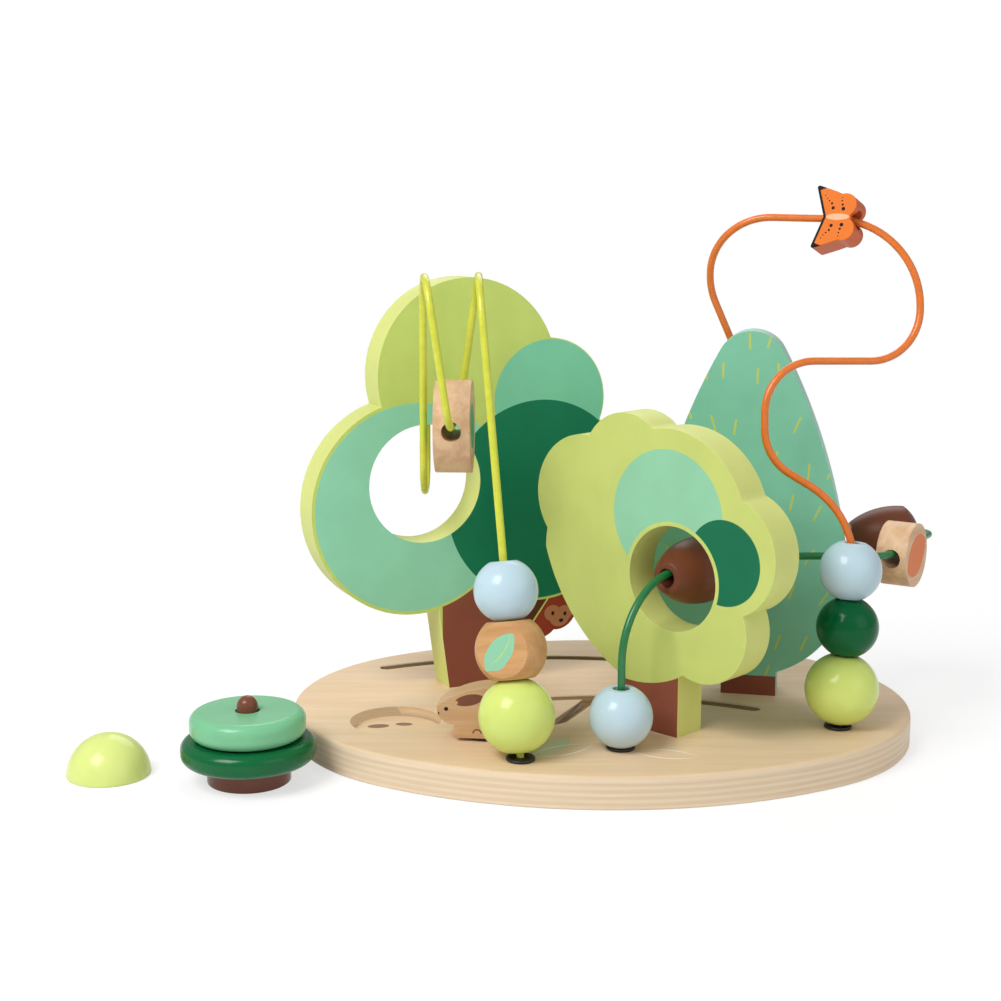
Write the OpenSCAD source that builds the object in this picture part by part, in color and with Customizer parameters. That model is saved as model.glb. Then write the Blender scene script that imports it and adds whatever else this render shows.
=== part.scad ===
// Forest bead maze: an oval plywood base with three tree boards, three bent
// wires with wooden beads, a rabbit that slides in a slot and a small tree
// that stacks. Millimetres, +Z up, origin under the middle of the base.

/* [Base] */
// Length of the oval base board
base_length = 300; // [280:1:330]
// Width of the oval base board
base_width = 225; // [210:1:245]
// Thickness of the base board
base_thickness = 15; // [14:0.5:20]
// Radius of the two end arcs of the oval
base_end_radius = 97; // [92:1:102]
// Diameter of the round recess for the stacking tree
recess_d = 43; // [41:0.5:48]
// Depth of the round recess
recess_depth = 5; // [3:0.5:7]
// Width of the routed path grooves
groove_width = 7.5; // [7:0.1:9]
// Depth of the routed path grooves
groove_depth = 4; // [2:0.5:5]
// Radius of the long groove behind the trees
back_groove_radius = 196; // [190:1:205]
// Radius of the groove between the trees
middle_groove_radius = 150; // [142:1:158]

/* [Tree boards] */
// Thickness of every tree board
board_thickness = 18; // [16:0.5:20]
// Depth of the tenon that each trunk has in the base
tenon_depth = 8; // [6:0.5:9]
// Height of the cloud shaped tree above the base
cloud_height = 205; // [195:1:215]
// Width of the cloud tree's trunk at its foot
cloud_trunk_width = 39; // [34:1:44]
// Width of the cloud tree's trunk under the leaves
cloud_trunk_flare = 52; // [46:1:58]
// Diameter of the hole through the cloud tree
cloud_hole_d = 58.5; // [54:0.5:62]
// Diameter of the squirrel's head beside the trunk
squirrel_head_d = 22.4; // [20:0.2:25]
// Height of the flower shaped tree above the base
flower_height = 146; // [140:1:152]
// Width of the flower tree's trunk
flower_trunk_width = 35; // [30:1:40]
// Diameter of the hole through the flower tree
flower_hole_d = 48.5; // [46:0.5:52]
// Height of the egg shaped tree above the base
egg_height = 180; // [172:1:188]
// Width of the egg shaped tree
egg_width = 98; // [92:1:104]
// Radius of the egg tree's tip
egg_top_radius = 17; // [15:0.5:19]
// Radius of the egg tree's long side arcs
egg_side_radius = 300; // [270:5:350]
// Height of the egg tree's trunk above the base
egg_trunk_height = 9.5; // [8:0.5:12]
// Width of the egg tree's trunk
egg_trunk_width = 27; // [24:1:32]

/* [Tree screws] */
// Shank diameter of the screws under the trees
screw_d = 4; // [3:0.5:5]
// Head diameter of the screws under the trees
screw_head_d = 8; // [7:0.5:9]
// Length of the screws under the trees
screw_length = 24; // [20:1:28]

/* [Wires] */
// Diameter of the coated steel wires
wire_d = 3.5; // [3:0.1:4]
// Depth of the drilled holes that hold the wire ends
wire_seat = 10; // [8:0.5:12]
// Diameter of the black washers at the wire feet
washer_d = 13; // [11:0.5:15]
// Thickness of the black washers
washer_thickness = 1.6; // [1.4:0.1:3]
// Distance from the flower tree forward to the green wire's stem
green_stem_reach = 29; // [27:0.5:32]

/* [Beads] */
// Diameter of the two lime beads
lime_bead_d = 34; // [32:0.5:36]
// Diameter of the blue and dark green beads
small_bead_d = 28.7; // [27:0.1:30]
// Diameter of the wooden leaf bead
leaf_bead_d = 32; // [30:0.5:33]
// Thickness of the leaf bead between its two flat faces
leaf_bead_thickness = 22; // [20:0.5:25]
// Height of the leaf bead along its bore
leaf_bead_height = 25.5; // [24:0.5:28]
// Diameter of the round bead bores
bead_bore = 7.5; // [7:0.1:8]
// Diameter of the flat ring round each end of a bead bore
bead_flat_d = 12; // [9:0.5:13]
// Diameter of the large wooden disc bead
large_disc_d = 43; // [40:0.5:44]
// Diameter of the small wooden disc bead
small_disc_d = 31; // [29:0.5:33]
// Thickness of the large disc bead
large_disc_thickness = 16.7; // [15:0.1:18]
// Thickness of the small disc bead
small_disc_thickness = 15; // [13:0.5:16]
// Diameter of the bores in the disc beads
disc_bore = 9; // [8:0.1:9.5]
// Diameter of the bores in the acorn beads
acorn_bore = 8.5; // [8:0.1:9]
// Diameter of the bore in the butterfly bead
butterfly_bore = 9.4; // [8.8:0.1:9.8]
// Length of the acorn beads
acorn_length = 33; // [31:0.5:35]
// Greatest diameter of the acorn beads
acorn_d = 31; // [29:0.5:33]
// Diameter of an acorn bead's small end
acorn_tip_d = 14; // [13:0.5:16]
// Wing span of the butterfly bead
butterfly_span = 30; // [28:0.5:32]
// Thickness of the butterfly bead
butterfly_thickness = 15; // [14:0.5:17]

/* [Rabbit slider] */
// Height of the rabbit above its washer
rabbit_height = 24; // [22:0.5:25]
// Thickness of the rabbit
rabbit_thickness = 13.5; // [12:0.5:14]
// Thickness of the black washer under the rabbit
rabbit_washer_thickness = 1.2; // [0.8:0.1:1.5]
// Diameter of the peg that runs in the slot
peg_d = 6; // [5:0.1:6.5]
// Travel of the rabbit along its slot
rabbit_travel = 32; // [26:1:36]
// Diameter of the disc that holds the peg under the base
keeper_d = 14; // [13:0.5:16]
// Thickness of the disc that holds the peg
keeper_thickness = 3; // [2:0.25:3.5]
// Height of that disc above the underside of the base
keeper_rise = 1.2; // [1:0.1:2]

/* [Stacking tree] */
// Diameter of the stacking tree's trunk
stack_trunk_d = 37.5; // [35:0.5:40]
// Height of the stacking tree's trunk
stack_trunk_height = 9.3; // [8:0.1:11]
// Diameter of the dark green ring
dark_ring_d = 60.5; // [57:0.5:63]
// Diameter of the mint ring
mint_ring_d = 52; // [49:0.5:55]
// Thickness of the dark green ring
dark_ring_thickness = 10.8; // [10:0.1:12]
// Thickness of the mint ring
mint_ring_thickness = 12; // [11:0.1:13]
// Radius of the rings' round edges
ring_edge = 4.5; // [3:0.25:5]
// Diameter of the upright peg
stack_peg_d = 9.5; // [8:0.25:10]
// Height of the peg's tip above the mint ring
stack_peg_rise = 6.6; // [6:0.1:9]
// Diameter of the dome that tops the stacking tree
dome_d = 38; // [36:0.5:40]

/* [Hidden] */
$fn = 96;

// Room left between pieces that touch but move, and round glued or driven pieces
moving_gap = 0.3;
glue_gap = 0.05;
// How far a cut runs past the face that it opens
overrun = 1;
// A bend is a hair thicker than a straight, which ends just inside it
bend_swell = 0.02;
bend_lap = 0.2;

half = [base_length / 2, base_width / 2];

// Oval of the base: the side arcs follow from the end arcs
end_reach = half.x - base_end_radius;
side_radius = (end_reach ^ 2 + half.y ^ 2 - base_end_radius ^ 2) / (2 * (half.y - base_end_radius));
side_reach = side_radius - half.y;

// Places on the base, as shares of its half length and half width
recess_shares = [-0.657, -0.3];
back_groove_shares = [-0.16, -1.076];
middle_groove_shares = [0, -1.307];
rabbit_start_shares = [-0.38, -0.527];
rabbit_aim_shares = [-0.14, -0.3067];
groove_end_shares = [-0.02, 0.024];
lime_foot_shares = [-0.263, -0.823];
orange_foot_shares = [0.715, -0.402];
back_groove_from = 80;
back_groove_sweep = 35.6;
middle_groove_from = 61;
middle_groove_sweep = 44.5;

// Each tree stands at a place on the base and is turned about it
cloud_shares = [-0.38, 0.239];
flower_shares = [0.125, -0.428];
egg_shares = [0.491, 0.069];
cloud_turn = 24.5;
flower_turn = -43.5;
egg_turn = -12.5;
cloud_place = on_base(cloud_shares);
flower_place = on_base(flower_shares);
egg_place = on_base(egg_shares);

// Leaf lobes as shares of the tree's height: across, up and radius
cloud_lobe_shares = [[-0.1795, 0.455, 0.26], [0.15, 0.451, 0.252], [-0.04, 0.767, 0.232],
    [0.174, 0.699, 0.15]];
cloud_hole_shares = [-0.154, 0.512];
cloud_trunk_share = 0.24;
squirrel_shares = [0.1976, 0.1707];
squirrel_neck_shares = [0.148, 0.155, 0.056];
flower_lobe_shares = [[0.017, 0.582, 0.308], [-0.271, 0.719, 0.2], [-0.106, 0.836, 0.168],
    [0.065, 0.675, 0.295], [0.276, 0.603, 0.19], [0.202, 0.36, 0.168]];
flower_skirt_shares = [[0.159, 0.723, 0.623], [-0.058, 0.527, 0.377]];
flower_hole_shares = [0.086, 0.503];
flower_trunk_share = 0.25;
cloud_hole = [cloud_hole_shares.x * cloud_height, cloud_hole_shares.y * cloud_height];
flower_hole = [flower_hole_shares.x * flower_height, flower_hole_shares.y * flower_height];

// Egg outline: a wide lower arc and a small upper arc, joined by two long side arcs.
// Its middle lies a little to one side of the trunk, as a share of its width
egg_shift_share = -0.0255;
egg_shift = egg_shift_share * egg_width;
egg_radius = egg_width / 2;
egg_low = egg_trunk_height + egg_radius;
egg_high = egg_height - egg_top_radius;
egg_low_reach = egg_side_radius - egg_radius;
egg_high_reach = egg_side_radius - egg_top_radius;
egg_side_z = (egg_low + egg_high) / 2 - (egg_high_reach ^ 2 - egg_low_reach ^ 2) / (2 * (egg_high - egg_low));
egg_side_x = sqrt(egg_low_reach ^ 2 - (egg_side_z - egg_low) ^ 2);

// Screws: places along each trunk, as shares of the trunk's width
screw_shares = [-0.27, 0.27];
screw_head_h = (screw_head_d - screw_d) / 2;
screw_sink = screw_head_h / 4;

// Bends of the wires and the radius at each bend, as shares of what they follow
lime_route_shares = [[-0.147, -0.302, 1.011], [-0.0615, -0.105, 1.011], [-0.092, -0.06, 0.688],
    [-0.234, -0.338, 0.688], [-0.266, -0.291, 1.011], [-0.207, -0.125, 1.011], [-0.209, -0.124, 0.506]];
lime_bend_shares = [0, 0.107, 0.098, 0.044, 0.044, 0.078, 0.078, 0.083, 0.083, 0];
cloud_wall_share = 0.155;
green_stem_shares = [0.055, 0.514];
green_far_share = 0.364;
green_route_shares = [[0.662, -0.082], [0.899, 0.578], [0.288, 0.443]];
green_bend_shares = [0, 0.2466, 0.1507, 0.0753, 0.0345, 0.0685, 0];
orange_route_shares = [[0.279, -0.2017, 0.5517], [0.0411, -0.2233, 0.6933], [0.0322, -0.1911, 0.9389],
    [0.4211, -0.0194, 0.9311], [0.4067, 0.0456, 1.289], [-0.14, 0.0728, 1.3], [-0.1406, 0.1406, 1.0994],
    [-0.0544, 0.1711, 0.8978]];
orange_bend_shares = [0.1333, 0.1333, 0.139, 0.2361, 0.1667, 0.1667, 0.0444, 0];

// Where the lime wire goes up into the top of the cloud tree's hole
cloud_wall_x = cloud_hole.x + cloud_wall_share * cloud_hole_d / 2;
cloud_wall_z = cloud_hole.y + sqrt((cloud_hole_d / 2) ^ 2 - (cloud_wall_x - cloud_hole.x) ^ 2);
lime_route = concat(
    [foot_of(lime_foot_shares, base_thickness - wire_seat)],
    [for (p = lime_route_shares) at_tree(cloud_place, cloud_turn, p * cloud_height)],
    [for (z = [lime_route_shares[6].z * cloud_height, cloud_wall_z + wire_seat])
        at_tree(cloud_place, cloud_turn, [cloud_wall_x, board_thickness / 2, z])]);
lime_bends = lime_bend_shares * cloud_height;

// The green wire is level between its stem and the egg tree's back
green_x = green_stem_shares.x * flower_height;
green_z = green_stem_shares.y * flower_height;
green_end_x = green_route_shares[2].x * egg_width;
green_stem = at_tree(flower_place, flower_turn, [green_x, -green_stem_reach, green_z]);
green_route = concat(
    [[green_stem.x, green_stem.y, base_thickness - wire_seat], green_stem],
    [at_tree(flower_place, flower_turn, [green_x, green_far_share * flower_height, green_z])],
    [for (p = green_route_shares) at_tree(egg_place, egg_turn, [p.x * egg_width, p.y * egg_width, green_z])],
    [at_tree(egg_place, egg_turn, [green_end_x, board_thickness - wire_seat, green_z])]);
green_bends = green_bend_shares * flower_height;

// The orange wire ends square in the egg tree's back
orange_end = orange_route_shares[7] * egg_height;
orange_route = concat(
    [foot_of(orange_foot_shares, base_thickness - wire_seat)],
    [for (p = orange_route_shares) at_tree(egg_place, egg_turn, p * egg_height)],
    [at_tree(egg_place, egg_turn, [orange_end.x, board_thickness - wire_seat, orange_end.z])]);

// Bead stacks: distances up the wire from the top of the base
lime_start = on_top(lime_route);
orange_start = on_top(orange_route);
lime_h = bead_height(lime_bead_d);
small_h = bead_height(small_bead_d);
leaf_h = leaf_bead_height;
function lean(route) = acos(unit(route[1] - route[0]).z);
// How far up a leaning wire a bead's flat end clears the level washer
function over_washer(route) =
    (washer_thickness + moving_gap + bead_flat_d / 2 * sin(lean(route))) / cos(lean(route));
lime_foot_up = over_washer(lime_route);
green_foot_up = over_washer(green_route);
orange_foot_up = over_washer(orange_route);
lime_up = [lime_foot_up + lime_h / 2, lime_foot_up + lime_h + leaf_h / 2 + moving_gap,
    lime_foot_up + lime_h + leaf_h + small_h / 2 + 2 * moving_gap];
orange_up = [orange_foot_up + lime_h / 2, orange_foot_up + lime_h + small_h / 2 + moving_gap,
    orange_foot_up + lime_h + small_h * 3 / 2 + 2 * moving_gap];

// The orange wire starts to bend at the middle of its top bead, which sits a little
// towards the inside of the bend so that the bore clears the wire all the way round it
first_bend = (norm(orange_route[1] - orange_start) - orange_up[2]) / tan(turn_at(orange_route, 1) / 2);
orange_bends = concat([0, first_bend], orange_bend_shares * egg_height);
blue_inset = small_h ^ 2 / (16 * first_bend);

// Beads that hang: the top of the bore is just clear of the wire
disc_hang = (disc_bore - wire_d) / 2 - moving_gap;
acorn_hang = (acorn_bore - wire_d) / 2 - moving_gap;
large_disc_share = 0.5;
small_disc_share = 0.282;
front_acorn_share = 0.378;
back_acorn_share = 0.3;
butterfly_share = 0.362;
butterfly_hang_share = 0.27;
butterfly_hang = butterfly_hang_share * (butterfly_bore - wire_d) / 2;
leaf_face_turn = -20;
butterfly_tilt = 15;
butterfly_yaw = -8;
butterfly_roll = -7;

// Acorn side: one arc from the small end to the greatest diameter, which lies at this share
acorn_belly_share = 0.73;
acorn_belly = acorn_belly_share * acorn_length;
acorn_swell = (acorn_d - acorn_tip_d) / 2;
acorn_arc = (acorn_belly ^ 2 + acorn_swell ^ 2) / (2 * acorn_swell);
// The wide end is a dome, cut flat round the bore; its radius and flat are shares of the length
acorn_dome_share = 0.576;
acorn_end_share = 0.26;
acorn_dome = acorn_dome_share * acorn_length;
acorn_dome_z = acorn_length - sqrt(acorn_dome ^ 2 - (acorn_end_share * acorn_length) ^ 2);

// Butterfly outline as shares of the wing span: along the wire and across it
fore_wing_shares = [[-0.23, 0], [-0.375, 0.44], [-0.385, 0.475], [-0.37, 0.495], [-0.34, 0.5],
    [-0.07, 0.41], [0.06, 0.36], [0.14, 0.2], [0.21, 0]];
hind_wing_shares = [0.1, 0.19, 0.185];

// Rabbit outline as shares of its height: a head, a rump and a body, all under one long back arc
rabbit_head_shares = [-0.5375, 0.579, 0.3125];
rabbit_rump_shares = [0.583, 0.508, 0.508];
rabbit_back_shares = [0.292, -0.875, 1.888];
rabbit_body_shares = [[-0.4875, 0], [0.583, 0], [0.583, 1.02], [-0.417, 1.02], [-0.583, 0.625], [-0.52, 0.2],
    [-0.55, 0.083]];
rabbit_turn = -6;
rabbit_start = on_base(rabbit_start_shares);
rabbit_aim = on_base(rabbit_aim_shares);
rabbit_way = atan2(rabbit_aim.y - rabbit_start.y, rabbit_aim.x - rabbit_start.x);
slot_width = groove_width - 2 * moving_gap;
keeper_room = keeper_d + 4 * moving_gap;
keeper_depth = keeper_rise + keeper_thickness + moving_gap;
rabbit_z = base_thickness + moving_gap;
peg_grip = rabbit_height / 3;

// Stacking tree and dome: they stand on the floor beside the base
stack_shares = [-1.08, -0.658];
dome_shares = [-1.513, -0.587];
stack_place = on_base(stack_shares);
dome_place = on_base(dome_shares);
dark_ring_z = stack_trunk_height + moving_gap;
mint_ring_z = dark_ring_z + dark_ring_thickness + moving_gap;
stack_peg_top = mint_ring_z + mint_ring_thickness + stack_peg_rise;
stack_peg_foot = stack_trunk_height / 4;
ring_bore = stack_peg_d + 4 * moving_gap;
dome_socket_depth = stack_peg_rise + moving_gap;

function unit(v) = v / norm(v);
function on_base(shares) = [shares.x * half.x, shares.y * half.y];
function foot_of(shares, z) = [shares.x * half.x, shares.y * half.y, z];
function at_tree(place, turn, p) = [
    place.x + p.x * cos(turn) - p.y * sin(turn),
    place.y + p.x * sin(turn) + p.y * cos(turn),
    base_thickness + p.z];
function turn_at(route, i) = acos(unit(route[i] - route[i - 1]) * unit(route[i + 1] - route[i]));
function tangent(route, bends, i) =
    i == 0 || i == len(route) - 1 ? 0 : bends[i] * tan(turn_at(route, i) / 2);
function along(from, to, distance) = from + distance * unit(to - from);
function on_top(route) =
    route[0] + (route[1] - route[0]) * (base_thickness - route[0].z) / (route[1].z - route[0].z);
function bead_height(d) = sqrt(d ^ 2 - bead_flat_d ^ 2);

// Turns the children's Z axis to a direction and moves them to a place
module facing(place, direction) {
    translate(place)
        rotate([0, acos(unit(direction).z), atan2(direction.y, direction.x)])
            children();
}

// A straight rod between two points
module rod(from, to, d) {
    facing(from, to - from)
        cylinder(d = d, h = norm(to - from));
}

// A round bend: it starts at a point, heads along one direction and turns to another
module bend(start, heading, next, radius, d) {
    normal = unit(cross(heading, next));
    out = -cross(normal, heading);
    centre = start - radius * out;
    multmatrix([
        [out.x, heading.x, normal.x, centre.x],
        [out.y, heading.y, normal.y, centre.y],
        [out.z, heading.z, normal.z, centre.z],
        [0, 0, 0, 1]])
        rotate_extrude(angle = acos(heading * next))
            translate([radius, 0])
                circle(d = d);
}

// A wire bent at each inner point of its route
module bent_wire(route, bends, d) {
    last = len(route) - 1;
    for (i = [0 : last - 1]) {
        rod(along(route[i], route[i + 1], i == 0 ? 0 : tangent(route, bends, i) - bend_lap),
            along(route[i + 1], route[i], i == last - 1 ? 0 : tangent(route, bends, i + 1) - bend_lap), d);
    }
    for (i = [1 : last - 1]) {
        bend(along(route[i], route[i - 1], tangent(route, bends, i)),
            unit(route[i] - route[i - 1]), unit(route[i + 1] - route[i]), bends[i], d + bend_swell);
    }
}

// The drilled hole for one end of a wire, a little wider than the wire
module wire_hole(end, before) {
    rod(end, along(end, before, wire_seat + board_thickness), wire_d + 2 * glue_gap);
}

// Puts a board, drawn across and up, where its tree stands
module stand_tree(place, turn) {
    translate([place.x, place.y, base_thickness])
        rotate(turn)
            children();
}

// A round piece of board: across, up and radius
module lobe(p) {
    translate([p.x, 0, p.y])
        rotate([-90, 0, 0])
            cylinder(r = p.z, h = board_thickness);
}

// A piece of board with a straight edged outline
module plank(points) {
    translate([0, board_thickness, 0])
        rotate([90, 0, 0])
            linear_extrude(board_thickness)
                polygon(points);
}

// A hole through a board
module board_hole(p, d) {
    translate([p.x, -overrun, p.y])
        rotate([-90, 0, 0])
            cylinder(d = d, h = board_thickness + 2 * overrun);
}

// The two screw holes in a trunk's foot
module trunk_screw_holes(width) {
    for (s = screw_shares) {
        translate([s * width, board_thickness / 2, -base_thickness])
            cylinder(d = screw_d + 2 * glue_gap, h = screw_length + screw_sink + glue_gap);
    }
}

// The mortise for a trunk and the screw holes under it
module trunk_seat(place, turn, width) {
    stand_tree(place, turn) {
        translate([-width / 2 - glue_gap, -glue_gap, -tenon_depth - glue_gap])
            cube([width + 2 * glue_gap, board_thickness + 2 * glue_gap, tenon_depth + overrun]);
        for (s = screw_shares) {
            translate([s * width, board_thickness / 2, -base_thickness - overrun]) {
                cylinder(d = screw_d + 4 * glue_gap, h = base_thickness);
                cylinder(d = screw_head_d + 4 * glue_gap, h = overrun + screw_sink);
                translate([0, 0, overrun + screw_sink])
                    cylinder(d1 = screw_head_d + 4 * glue_gap, d2 = screw_d + 4 * glue_gap, h = screw_head_h);
            }
        }
    }
}

// The two screws under a trunk
module trunk_screws(place, turn, width) {
    stand_tree(place, turn) {
        for (s = screw_shares) {
            translate([s * width, board_thickness / 2, -base_thickness + screw_sink]) {
                cylinder(d1 = screw_head_d, d2 = screw_d, h = screw_head_h);
                cylinder(d = screw_d, h = screw_length);
            }
        }
    }
}

// The oval plate: two end discs and the lens between two side discs
module oval_plate() {
    for (side = [-1, 1]) {
        translate([side * end_reach, 0, 0])
            cylinder(r = base_end_radius, h = base_thickness);
    }
    intersection() {
        translate([0, -side_reach, 0])
            cylinder(r = side_radius, h = base_thickness);
        translate([0, side_reach, 0])
            cylinder(r = side_radius, h = base_thickness);
        linear_extrude(base_thickness)
            polygon([[-end_reach, 0], oval_joint(-1, 1), oval_joint(1, 1), [end_reach, 0],
                oval_joint(1, -1), oval_joint(-1, -1)]);
    }
}

// A point level with the oval's outer side, on the line where an end arc meets a side arc
function oval_joint(x, y) = [x * end_reach * (1 + (half.y + overrun) / side_reach), y * (half.y + overrun)];

// A straight groove cut from the top, with round ends
module straight_groove(from, to, depth) {
    way = to - from;
    translate([from.x, from.y, base_thickness - depth])
        rotate(atan2(way.y, way.x)) {
            translate([0, -groove_width / 2, 0])
                cube([norm(way), groove_width, depth + overrun]);
            cylinder(d = groove_width, h = depth + overrun);
            translate([norm(way), 0, 0])
                cylinder(d = groove_width, h = depth + overrun);
        }
}

// A curved groove cut from the top, with round ends
module curved_groove(shares, radius, from, sweep) {
    translate([shares.x * half.x, shares.y * half.y, base_thickness - groove_depth]) {
        rotate(from)
            rotate_extrude(angle = sweep)
                translate([radius - groove_width / 2, 0])
                    square([groove_width, groove_depth + overrun]);
        for (a = [from, from + sweep]) {
            rotate(a)
                translate([radius, 0, 0])
                    cylinder(d = groove_width, h = groove_depth + overrun);
        }
    }
}

// The rabbit's slot goes right through beneath its groove, with a wide channel below for the keeper
module rabbit_slot() {
    translate([rabbit_start.x, rabbit_start.y, -overrun])
        rotate(rabbit_way) {
            channel(slot_width, base_thickness + 2 * overrun);
            channel(keeper_room, keeper_depth + overrun);
        }
}

module channel(width, height) {
    translate([0, -width / 2, 0])
        cube([rabbit_travel, width, height]);
    for (x = [0, rabbit_travel]) {
        translate([x, 0, 0])
            cylinder(d = width, h = height);
    }
}

// Oval base board with its recess, grooves, mortises, slot and wire holes
module base_board() {
    color("burlywood")
        difference() {
            oval_plate();
            translate([recess_shares.x * half.x, recess_shares.y * half.y, base_thickness - recess_depth])
                cylinder(d = recess_d, h = recess_depth + overrun);
            curved_groove(back_groove_shares, back_groove_radius, back_groove_from, back_groove_sweep);
            curved_groove(middle_groove_shares, middle_groove_radius,
                middle_groove_from, middle_groove_sweep);
            straight_groove(rabbit_start, rabbit_aim, groove_depth);
            straight_groove(rabbit_aim, on_base(groove_end_shares), groove_depth);
            rabbit_slot();
            trunk_seat(cloud_place, cloud_turn, cloud_trunk_width);
            trunk_seat(flower_place, flower_turn, flower_trunk_width);
            trunk_seat(egg_place, egg_turn, egg_trunk_width);
            wire_hole(lime_route[0], lime_route[1]);
            wire_hole(green_route[0], green_route[1]);
            wire_hole(orange_route[0], orange_route[1]);
        }
}

// Cloud tree: four round lobes, a flared trunk, a peeping squirrel and a round hole
module cloud_tree() {
    foot = cloud_trunk_width / 2;
    flare = cloud_trunk_flare / 2;
    flare_z = cloud_trunk_share * cloud_height;
    color("yellowgreen")
        difference() {
            stand_tree(cloud_place, cloud_turn)
                difference() {
                    union() {
                        for (p = cloud_lobe_shares) {
                            lobe(p * cloud_height);
                        }
                        plank([[-foot, -tenon_depth], [foot, -tenon_depth], [foot, 0], [flare, flare_z],
                            [-flare, flare_z], [-foot, 0]]);
                        lobe(concat(squirrel_shares * cloud_height, squirrel_head_d / 2));
                        lobe(squirrel_neck_shares * cloud_height);
                    }
                    board_hole(cloud_hole, cloud_hole_d);
                    trunk_screw_holes(cloud_trunk_width);
                }
            wire_hole(lime_route[9], lime_route[8]);
        }
}

// Flower tree: overlapping lobes, a wide skirt at the lower left, a trunk and a round hole
module flower_tree() {
    foot = flower_trunk_width / 2;
    trunk_z = flower_trunk_share * flower_height;
    color("darkkhaki")
        stand_tree(flower_place, flower_turn)
            difference() {
                union() {
                    for (p = flower_lobe_shares) {
                        lobe(p * flower_height);
                    }
                    intersection() {
                        lobe(flower_skirt_shares[0] * flower_height);
                        lobe(flower_skirt_shares[1] * flower_height);
                    }
                    plank([[-foot, -tenon_depth], [foot, -tenon_depth], [foot, trunk_z], [-foot, trunk_z]]);
                }
                board_hole(flower_hole, flower_hole_d);
                trunk_screw_holes(flower_trunk_width);
            }
}

// A point well outside the egg, on the line where an end arc meets a side arc
function egg_joint(side, z, radius) = [egg_shift, z]
    + (radius + egg_top_radius) * unit([side * egg_side_x, z - egg_side_z]);

// Egg tree: a wide lower arc, a small tip and two long sides, on a short trunk
module egg_tree() {
    foot = egg_trunk_width / 2;
    color("mediumaquamarine")
        difference() {
            stand_tree(egg_place, egg_turn)
                difference() {
                    union() {
                        lobe([egg_shift, egg_low, egg_radius]);
                        lobe([egg_shift, egg_high, egg_top_radius]);
                        intersection() {
                            lobe([egg_shift - egg_side_x, egg_side_z, egg_side_radius]);
                            lobe([egg_shift + egg_side_x, egg_side_z, egg_side_radius]);
                            plank([[egg_shift, egg_low],
                                egg_joint(1, egg_low, egg_radius), egg_joint(1, egg_high, egg_top_radius),
                                [egg_shift, egg_high],
                                egg_joint(-1, egg_high, egg_top_radius), egg_joint(-1, egg_low, egg_radius)]);
                        }
                        plank([[-foot, -tenon_depth], [foot, -tenon_depth],
                            [foot, egg_low], [-foot, egg_low]]);
                    }
                    trunk_screw_holes(egg_trunk_width);
                }
            wire_hole(green_route[6], green_route[5]);
            wire_hole(orange_route[9], orange_route[8]);
        }
}

// Six countersunk screws, two up into each trunk from under the base
module tree_screws() {
    color("silver") {
        trunk_screws(cloud_place, cloud_turn, cloud_trunk_width);
        trunk_screws(flower_place, flower_turn, flower_trunk_width);
        trunk_screws(egg_place, egg_turn, egg_trunk_width);
    }
}

module lime_wire() {
    color("yellowgreen")
        bent_wire(lime_route, lime_bends, wire_d);
}

module green_wire() {
    color("green")
        bent_wire(green_route, green_bends, wire_d);
}

module orange_wire() {
    color("chocolate")
        bent_wire(orange_route, orange_bends, wire_d);
}

// A flat washer round a wire's foot, cut to the wire's lean
module washer(start, route) {
    color("black")
        difference() {
            translate(start)
                cylinder(d = washer_d, h = washer_thickness);
            rod(along(start, route[0], washer_thickness), along(start, route[1], washer_d),
                wire_d + 2 * glue_gap);
        }
}

module lime_wire_washer() {
    washer(lime_start, lime_route);
}

module green_wire_washer() {
    washer(on_top(green_route), green_route);
}

module orange_wire_washer() {
    washer(orange_start, orange_route);
}

// A round bead with a bore and a small flat ring at each end of it
module bead(d, height) {
    difference() {
        intersection() {
            sphere(d = d);
            cylinder(d = d + overrun, h = height, center = true);
        }
        cylinder(d = bead_bore, h = d, center = true);
    }
}

// A bead's place up a straight wire, with its bore along the wire
module on_wire(start, route, distance) {
    facing(along(start, route[1], distance), route[1] - route[0])
        children();
}

module lime_bead_left() {
    color("greenyellow")
        on_wire(lime_start, lime_route, lime_up[0])
            bead(lime_bead_d, lime_h);
}

// Bare wooden bead, sawn flat on two sides
module leaf_bead() {
    way = lime_route[1] - lime_route[0];
    color("peru")
        on_wire(lime_start, lime_route, lime_up[1])
            rotate(leaf_face_turn - atan2(way.y, way.x))
                intersection() {
                    bead(leaf_bead_d, leaf_h);
                    cube([leaf_bead_d + overrun, leaf_bead_thickness, leaf_bead_d + overrun], center = true);
                }
}

module blue_bead_left() {
    color("lightblue")
        on_wire(lime_start, lime_route, lime_up[2])
            bead(small_bead_d, small_h);
}

module blue_bead_middle() {
    color("lightblue")
        on_wire(on_top(green_route), green_route, green_foot_up + small_h / 2)
            bead(small_bead_d, small_h);
}

module lime_bead_right() {
    color("greenyellow")
        on_wire(orange_start, orange_route, orange_up[0])
            bead(lime_bead_d, lime_h);
}

module dark_green_bead() {
    color("darkgreen")
        on_wire(orange_start, orange_route, orange_up[1])
            bead(small_bead_d, small_h);
}

// This bead sits where its wire starts to bend
module blue_bead_right() {
    up = unit(orange_route[1] - orange_route[0]);
    next = unit(orange_route[2] - orange_route[1]);
    color("lightblue")
        translate(blue_inset * unit(next - (next * up) * up))
            on_wire(orange_start, orange_route, orange_up[2])
                bead(small_bead_d, small_h);
}

// A wooden disc with its bore straight across, hung on a level stretch of wire
module disc_bead(from, to, share, d, thickness) {
    way = to - from;
    translate(from + share * way - [0, 0, disc_hang])
        rotate(atan2(way.y, way.x))
            difference() {
                rotate([90, 0, 0])
                    cylinder(d = d, h = thickness, center = true);
                rotate([0, 90, 0])
                    cylinder(d = disc_bore, h = d + overrun, center = true);
            }
}

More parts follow.
